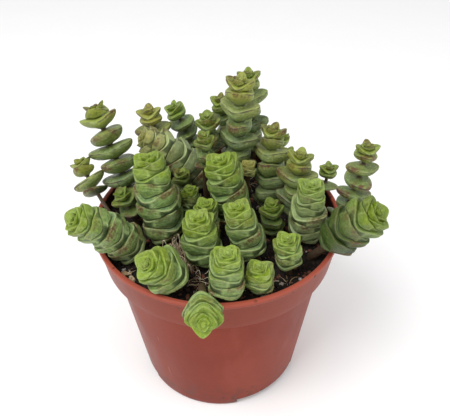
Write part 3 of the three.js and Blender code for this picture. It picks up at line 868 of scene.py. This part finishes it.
def make_pot():
    profile = densify(lathe_profile(pot_corners(), CORNER_STEPS), LONGEST_LEG)
    rings = np.array(turned(profile[1:-1], POT_SIDES))
    mesh = closed_lathe("pot_shell", rings, (0, 0, profile[0, 1]), (0, 0, profile[-1, 1]))
    pot = add_piece("pot_shell", mesh, pot_material(), "pot", "pot")
    tools = [notch_cutter(FIRST_NOTCH + i * TURN / NOTCHES) for i in range(NOTCHES)]
    tools += [hole_cutter(i * TURN / DRAIN_HOLES) for i in range(DRAIN_HOLES)]
    for tool in tools:
        cut = pot.modifiers.new("cut", "BOOLEAN")
        cut.operation = "DIFFERENCE"
        cut.solver = "MANIFOLD"
        cut.object = tool
    graph = bpy.context.evaluated_depsgraph_get()
    cut_mesh = bpy.data.meshes.new_from_object(pot.evaluated_get(graph))
    pot.modifiers.clear()
    pot.data = cut_mesh
    for tool in tools:
        bpy.data.objects.remove(tool)
    pot.data.shade_smooth()
    pot.data.set_sharp_from_angle(angle=SHARP_FROM)


# The bed of soil. Its lumps are of four sizes: how many there are in a millimetre, and how high they are.
SOIL_SIDES = 288
SOIL_RINGS = 64
SOIL_MIDDLE = 0.8
SOIL_EDGE = 79
SOIL_INSET = 1.2
SOIL_SUNK = 0.3
SOIL_LUMPS = ((0.09, 0.9), (0.27, 0.7), (0.8, 0.45), (2.1, 0.25))


def soil_height(x, y):
    """The soil's uneven top, in millimetres."""
    spot = Vector((x, y, 0))
    return SOIL_LEVEL - SOIL_SUNK + sum(high * noise.noise(spot * often) for often, high in SOIL_LUMPS)


def make_soil(material):
    """The bed of soil: its side follows the pot's inside, its top is uneven."""
    ledge = POT_HEIGHT - COLLAR_HEIGHT + WALL + CLEARANCE
    edge = RIM_RADIUS - LIP_OUT - WALL - SOIL_INSET
    bottom = FLOOR_UNDER + FLOOR + CLEARANCE
    side = [
        (FOOT_RADIUS - WALL - CLEARANCE, bottom), (WALL_TOP_RADIUS - WALL - CLEARANCE, ledge),
        (COLLAR_FOOT_RADIUS - WALL - 0.5, ledge), (edge, SOIL_EDGE),
    ]
    rings = turned(side, SOIL_SIDES)
    for ring in turned([(r, 0) for r in np.linspace(edge, SOIL_MIDDLE, SOIL_RINGS)], SOIL_SIDES):
        rings.append([(x, y, soil_height(x, y)) for x, y, _ in ring])
    mesh = closed_lathe("soil_bed", np.array(rings), (0, 0, bottom), (0, 0, soil_height(0, 0)))
    set_attribute(mesh, "kind", np.zeros(len(mesh.vertices)))
    add_piece("soil_bed", mesh, material, "soil", "soil")


def clear_of_stems(x, y, stems, gap):
    return all(math.hypot(x - s.base[0], y - s.base[1]) > s.radius + gap for s in stems)


def add_litter(name, parts, values, material, attribute="tone"):
    """One piece of many closed shells, each (points, faces) with its own value."""
    faces, read = [], []
    for (points, own), value in zip(parts, values):
        faces += [[len(read) + k for k in face] for face in own]
        read += [value] * len(points)
    mesh = new_mesh(name, np.concatenate([points for points, _ in parts]), faces)
    set_attribute(mesh, attribute, read)
    add_piece(name, mesh, material, "soil")


def ball(subdivisions):
    """The points and faces of a ball of radius 1."""
    base = bmesh.new()
    bmesh.ops.create_icosphere(base, subdivisions=subdivisions, radius=1)
    points = np.array([v.co for v in base.verts])
    faces = [[v.index for v in f.verts] for f in base.faces]
    base.free()
    return points, faces


def tube_faces(rings, sides):
    """The faces of a tube of so many rings, closed at both ends."""
    last = (rings - 1) * sides
    faces = [list(range(sides))[::-1], list(range(last, last + sides))]
    for k in range(rings - 1):
        for i in range(sides):
            a, b = k * sides + i, k * sides + (i + 1) % sides
            faces.append([a, b, b + sides, a + sides])
    return faces


CRUMBS = 2800
SMALLEST_CRUMB = 0.35
CRUMB_RANGE = 0.9
CRUMB_TILT = 0.6
CRUMB_DENTS = 0.25


def make_crumbs(stems, material):
    """Crumbs of peat and bark and pale grains, lying on the soil."""
    draw = random.Random(7)
    shape, faces = ball(1)
    parts, kinds = [], []
    while len(parts) < CRUMBS:
        x, y = round_axis(math.sqrt(draw.random()) * (RIM_RADIUS - 4), draw.random() * TURN)
        size = SMALLEST_CRUMB + CRUMB_RANGE * draw.random() ** 2
        if not clear_of_stems(x, y, stems, size + 0.2):
            continue
        stretch = np.array([1 + 0.6 * draw.random(), 0.6 + 0.5 * draw.random(), 0.45 + 0.5 * draw.random()])
        dents = np.array([draw.random() - 0.5 for _ in shape])
        lump = shape * stretch * (1 + CRUMB_DENTS * dents[:, None])
        spin = Matrix.Rotation(draw.random() * TURN, 3, "Z")
        tilt = Matrix.Rotation(draw.uniform(-CRUMB_TILT, CRUMB_TILT), 3, "X")
        lump = lump @ np.array(spin @ tilt).T * size
        parts.append((lump + (x, y, soil_height(x, y) + size * 0.25), faces))
        kinds.append(draw.random())
    add_litter("soil_crumbs", parts, kinds, material, "kind")


# Tufts of dry fibres: middle, spread, height and number of fibres.
TUFTS = [
    ((-17, -21.5), 2.8, 11.5, 80), ((-13, -26.5), 2.2, 6.5, 40), ((-7.5, -34), 2.6, 3, 30),
    ((-36, -31), 2.4, 1.6, 16), ((24, -39), 4, 1.2, 16), ((8.5, -33.5), 2.4, 1.4, 12),
    ((-30, 20), 6, 1, 10), ((20, 30), 6, 1, 12), ((-5, 33), 5, 1, 10),
]
FIBRE_RADIUS = 0.13
FIBRE_SIDES = 5
FIBRE_JOINTS = 9
FIBRE_END = 0.35
FIBRE_BOW = 0.4
FIBRE_WAVE = 0.2


def strand(spine, radius):
    """A thin closed tube along a spine, thinner at its ends."""
    spine = np.asarray(spine)
    ways = np.gradient(spine, axis=0)
    ways /= np.linalg.norm(ways, axis=1)[:, None]
    aside = np.cross(ways, (0.31, 0.17, 0.93))
    aside /= np.linalg.norm(aside, axis=1)[:, None]
    above = np.cross(aside, ways)
    turns = np.arange(FIBRE_SIDES) / FIBRE_SIDES * TURN
    points = []
    for k, spot in enumerate(spine):
        girth = radius * (FIBRE_END + (1 - FIBRE_END) * math.sin(math.pi * k / (len(spine) - 1)))
        points += [spot + girth * (math.cos(t) * aside[k] + math.sin(t) * above[k]) for t in turns]
    return points, tube_faces(len(spine), FIBRE_SIDES)


def fibre_spine(draw, middle, spread, height):
    """An arch from one end on the soil to the other, bowed to one side."""
    start = np.array([draw.gauss(place, spread * 0.6) for place in middle])
    way = draw.random() * TURN
    reach = spread * (0.8 + 1.3 * draw.random())
    ahead = np.array(round_axis(reach, way))
    bow = draw.uniform(-FIBRE_BOW, FIBRE_BOW) * np.array((-ahead[1], ahead[0]))
    arch = height * draw.random() ** 1.4
    spine = []
    for t in np.linspace(0, 1, FIBRE_JOINTS):
        lift = 4 * t * (1 - t)
        x, y = start + ahead * t + bow * lift
        up = 0.1 + arch * lift + FIBRE_WAVE * math.sin(7 * t + way)
        spine.append((x, y, soil_height(x, y) + up))
    return spine


def make_fibres(stems, material):
    """Dry root fibres with both ends on the soil, arched up in a tangle where they are thickest."""
    draw = random.Random(11)
    parts, tones = [], []
    for middle, spread, height, count in TUFTS:
        for _ in range(count):
            spine = fibre_spine(draw, middle, spread, height)
            tone = draw.random()
            inside = all(math.hypot(x, y) < RIM_RADIUS - 4.5 for x, y, _ in spine)
            if inside and all(clear_of_stems(x, y, stems, 0.3) for x, y, _ in spine):
                parts.append(strand(spine, FIBRE_RADIUS * (0.6 + 0.8 * draw.random())))
                tones.append(tone)
    add_litter("dry_fibres", parts, tones, material)


# Shed leaves: place, half-length and the way that each points.
SHED_LEAVES = [
    (-36.6, -30.2, 2.3, 20), (-34.2, -32.6, 1.9, 115), (-33, -34.8, 1.6, 60), (26.5, -41.2, 1.6, 30),
    (-14.5, -24.6, 1.7, 150), (33.5, 31, 2.2, 80), (-16, 27, 2, 10), (39.5, 19.5, 1.8, 130),
    (3.5, 38, 2.1, 45), (-41.5, 20, 1.8, 100), (41, -20.5, 1.5, 70),
]
SHED_SIDES = 12
SHED_RINGS = 7
SHED_THICK = 0.22
SHED_BROAD = 0.55
SHED_LIFT = 0.35


def shed_leaf(x, y, half, way, curl):
    """A shrivelled leaf, cupped and wrinkled, as rings from one face round to the other."""
    cos, sin = round_axis(1, math.radians(way))
    middle = soil_height(x, y) + SHED_LIFT
    points = []
    for k in range(1, SHED_RINGS * 2):
        side = 1 if k < SHED_RINGS else -1
        share = max(k / SHED_RINGS if side > 0 else 2 - k / SHED_RINGS, 0.02)
        thick = side * SHED_THICK * math.sqrt(max(1 - share**2, 0))
        for t in np.arange(SHED_SIDES) / SHED_SIDES * TURN:
            out = half * share * (1 + 0.14 * math.sin(3 * t + way) + 0.08 * math.sin(5 * t))
            u, v = out * math.cos(t), SHED_BROAD * out * math.sin(t)
            cup = curl * v * v / half * 2 + 0.12 * u * u / half + 0.12 * share * math.sin(4 * t + way)
            points.append((x + u * cos - v * sin, y + u * sin + v * cos, middle + cup - thick))
    return points, tube_faces(SHED_RINGS * 2 - 1, SHED_SIDES)


def make_shed_leaves(material):
    draw = random.Random(5)
    parts = [shed_leaf(*row, 0.5 + 0.4 * draw.random()) for row in SHED_LEAVES]
    add_litter("shed_leaves", parts, [0.15 + 0.5 * draw.random() for _ in parts], material)


# Larger pale grains: place and half-length of each, and the shape of all.
GRAINS = [
    (17.2, -43.5, 1.7), (23.6, -42.3, 1.1), (29.4, -38, 1.3), (31.5, -34.6, 0.8), (40.2, -27, 0.9),
    (-16.2, -19, 1.2), (-13, -22.5, 0.8), (-38, -27.5, 0.9), (36.5, 26, 1.2), (-20, 33, 1),
    (2, 40, 1.1), (38, 14, 0.9), (-41, 14, 1), (22, 20.5, 0.9), (-3, 46.5, 1.2),
]
GRAIN_SHAPE = (1, 0.7, 0.6)
GRAIN_LIFT = 0.15


def grain_surface(point, shift):
    """How far out a grain's surface is there: broad flat facets and finer lumps."""
    return 1 + 0.35 * noise.cell(point * 1.6 + shift) + 0.25 * noise.noise(point * 2.3 + shift)


def make_grains(material):
    """Pale angular grains, half sunk in the soil."""
    shape, faces = ball(3)
    parts = []
    for index, (x, y, half) in enumerate(GRAINS):
        shift = Vector((index * 3.1, 0, 0))
        out = np.array([grain_surface(Vector(point), shift) for point in shape])
        points = shape * out[:, None] * half * GRAIN_SHAPE
        turn = np.array(Matrix.Rotation(index * 1.9, 3, "Z"))
        parts.append((points @ turn.T + (x, y, soil_height(x, y) + half * GRAIN_LIFT), faces))
    add_litter("pale_grains", parts, [1] * len(parts), material)


# The room, in metres. Each light has its place, its size and its power.
FLOOR_SIZE = 6
FLOOR_LOOK = {"darker": (0.95, 0.95, 0.95), "lighter": (0.97, 0.97, 0.97)}
WORLD_LIGHT = 0.74
LIT_SPOT = Vector((0, 0, 0.08))
LIGHTS = [("key", (-0.35, -0.3, 0.8), 0.45, 4.9), ("fill", (0.6, -0.3, 0.45), 0.6, 1.5)]
# The photograph's camera, solved from the pot's ellipses: its place and the ways its right and back point.
CAMERA_PLACE = (0, -182.35, 237.21)
CAMERA_RIGHT = (0.9996, -0.0267, -0.0117)
CAMERA_BACK = (-0.0134, -0.7766, 0.6299)
SENSOR = 36
LENS = 44
NEAREST = 0.01


def make_floor():
    bpy.ops.mesh.primitive_plane_add(size=FLOOR_SIZE)
    floor = bpy.context.object
    floor.name = "floor"
    s = Shader("floor_paint", FLOOR_LOOK)
    s.painted = s.mix(s.noise(30, 2), "darker", "lighter")
    floor.data.materials.append(s.finish(Roughness=0.8))


def area_light(name, place, size, power):
    light = bpy.data.lights.new(name, "AREA")
    light.size = size
    light.energy = power
    lamp = new_object(name, light)
    lamp.location = place
    lamp.rotation_euler = (LIT_SPOT - Vector(place)).to_track_quat("-Z", "Y").to_euler()


def make_camera():
    camera = new_object("camera", bpy.data.cameras.new("camera"))
    back = Vector(CAMERA_BACK).normalized()
    up = back.cross(Vector(CAMERA_RIGHT)).normalized()
    right = up.cross(back)
    turn = Matrix((right, up, back)).transposed().to_4x4()
    camera.matrix_world = Matrix.Translation(Vector(CAMERA_PLACE) * MM) @ turn
    camera.data.sensor_width = SENSOR
    camera.data.lens = LENS
    camera.data.clip_start = NEAREST
    bpy.context.scene.camera = camera


def make_studio():
    make_floor()
    world = bpy.data.worlds.new("studio")
    bpy.context.scene.world = world
    world.use_nodes = True
    background = world.node_tree.nodes["Background"]
    background.inputs[0].default_value = (1, 1, 1, 1)
    background.inputs[1].default_value = WORLD_LIGHT
    for light in LIGHTS:
        area_light(*light)
    bpy.context.scene.view_settings.view_transform = "Standard"


def make_stems(stems):
    plump = leaf_material("leaf_plump", PLUMP_LOOK)
    opened = leaf_material("leaf_open", OPEN_LOOK)
    for stem in stems:
        material, slot = (plump, "leaf_plump") if stem.habit is PLUMP else (opened, "leaf_open")
        add_piece("leafy_" + stem.name, stem_mesh(stem), material, slot, "stem_" + stem.name)


make_camera()
make_studio()
stems = [Stem(row) for row in STEMS]
make_stems(stems)
make_pot()
peat = soil_material()
make_soil(peat)
make_crumbs(stems, peat)
dry = dry_material()
make_fibres(stems, dry)
make_shed_leaves(dry)
make_grains(grain_material())
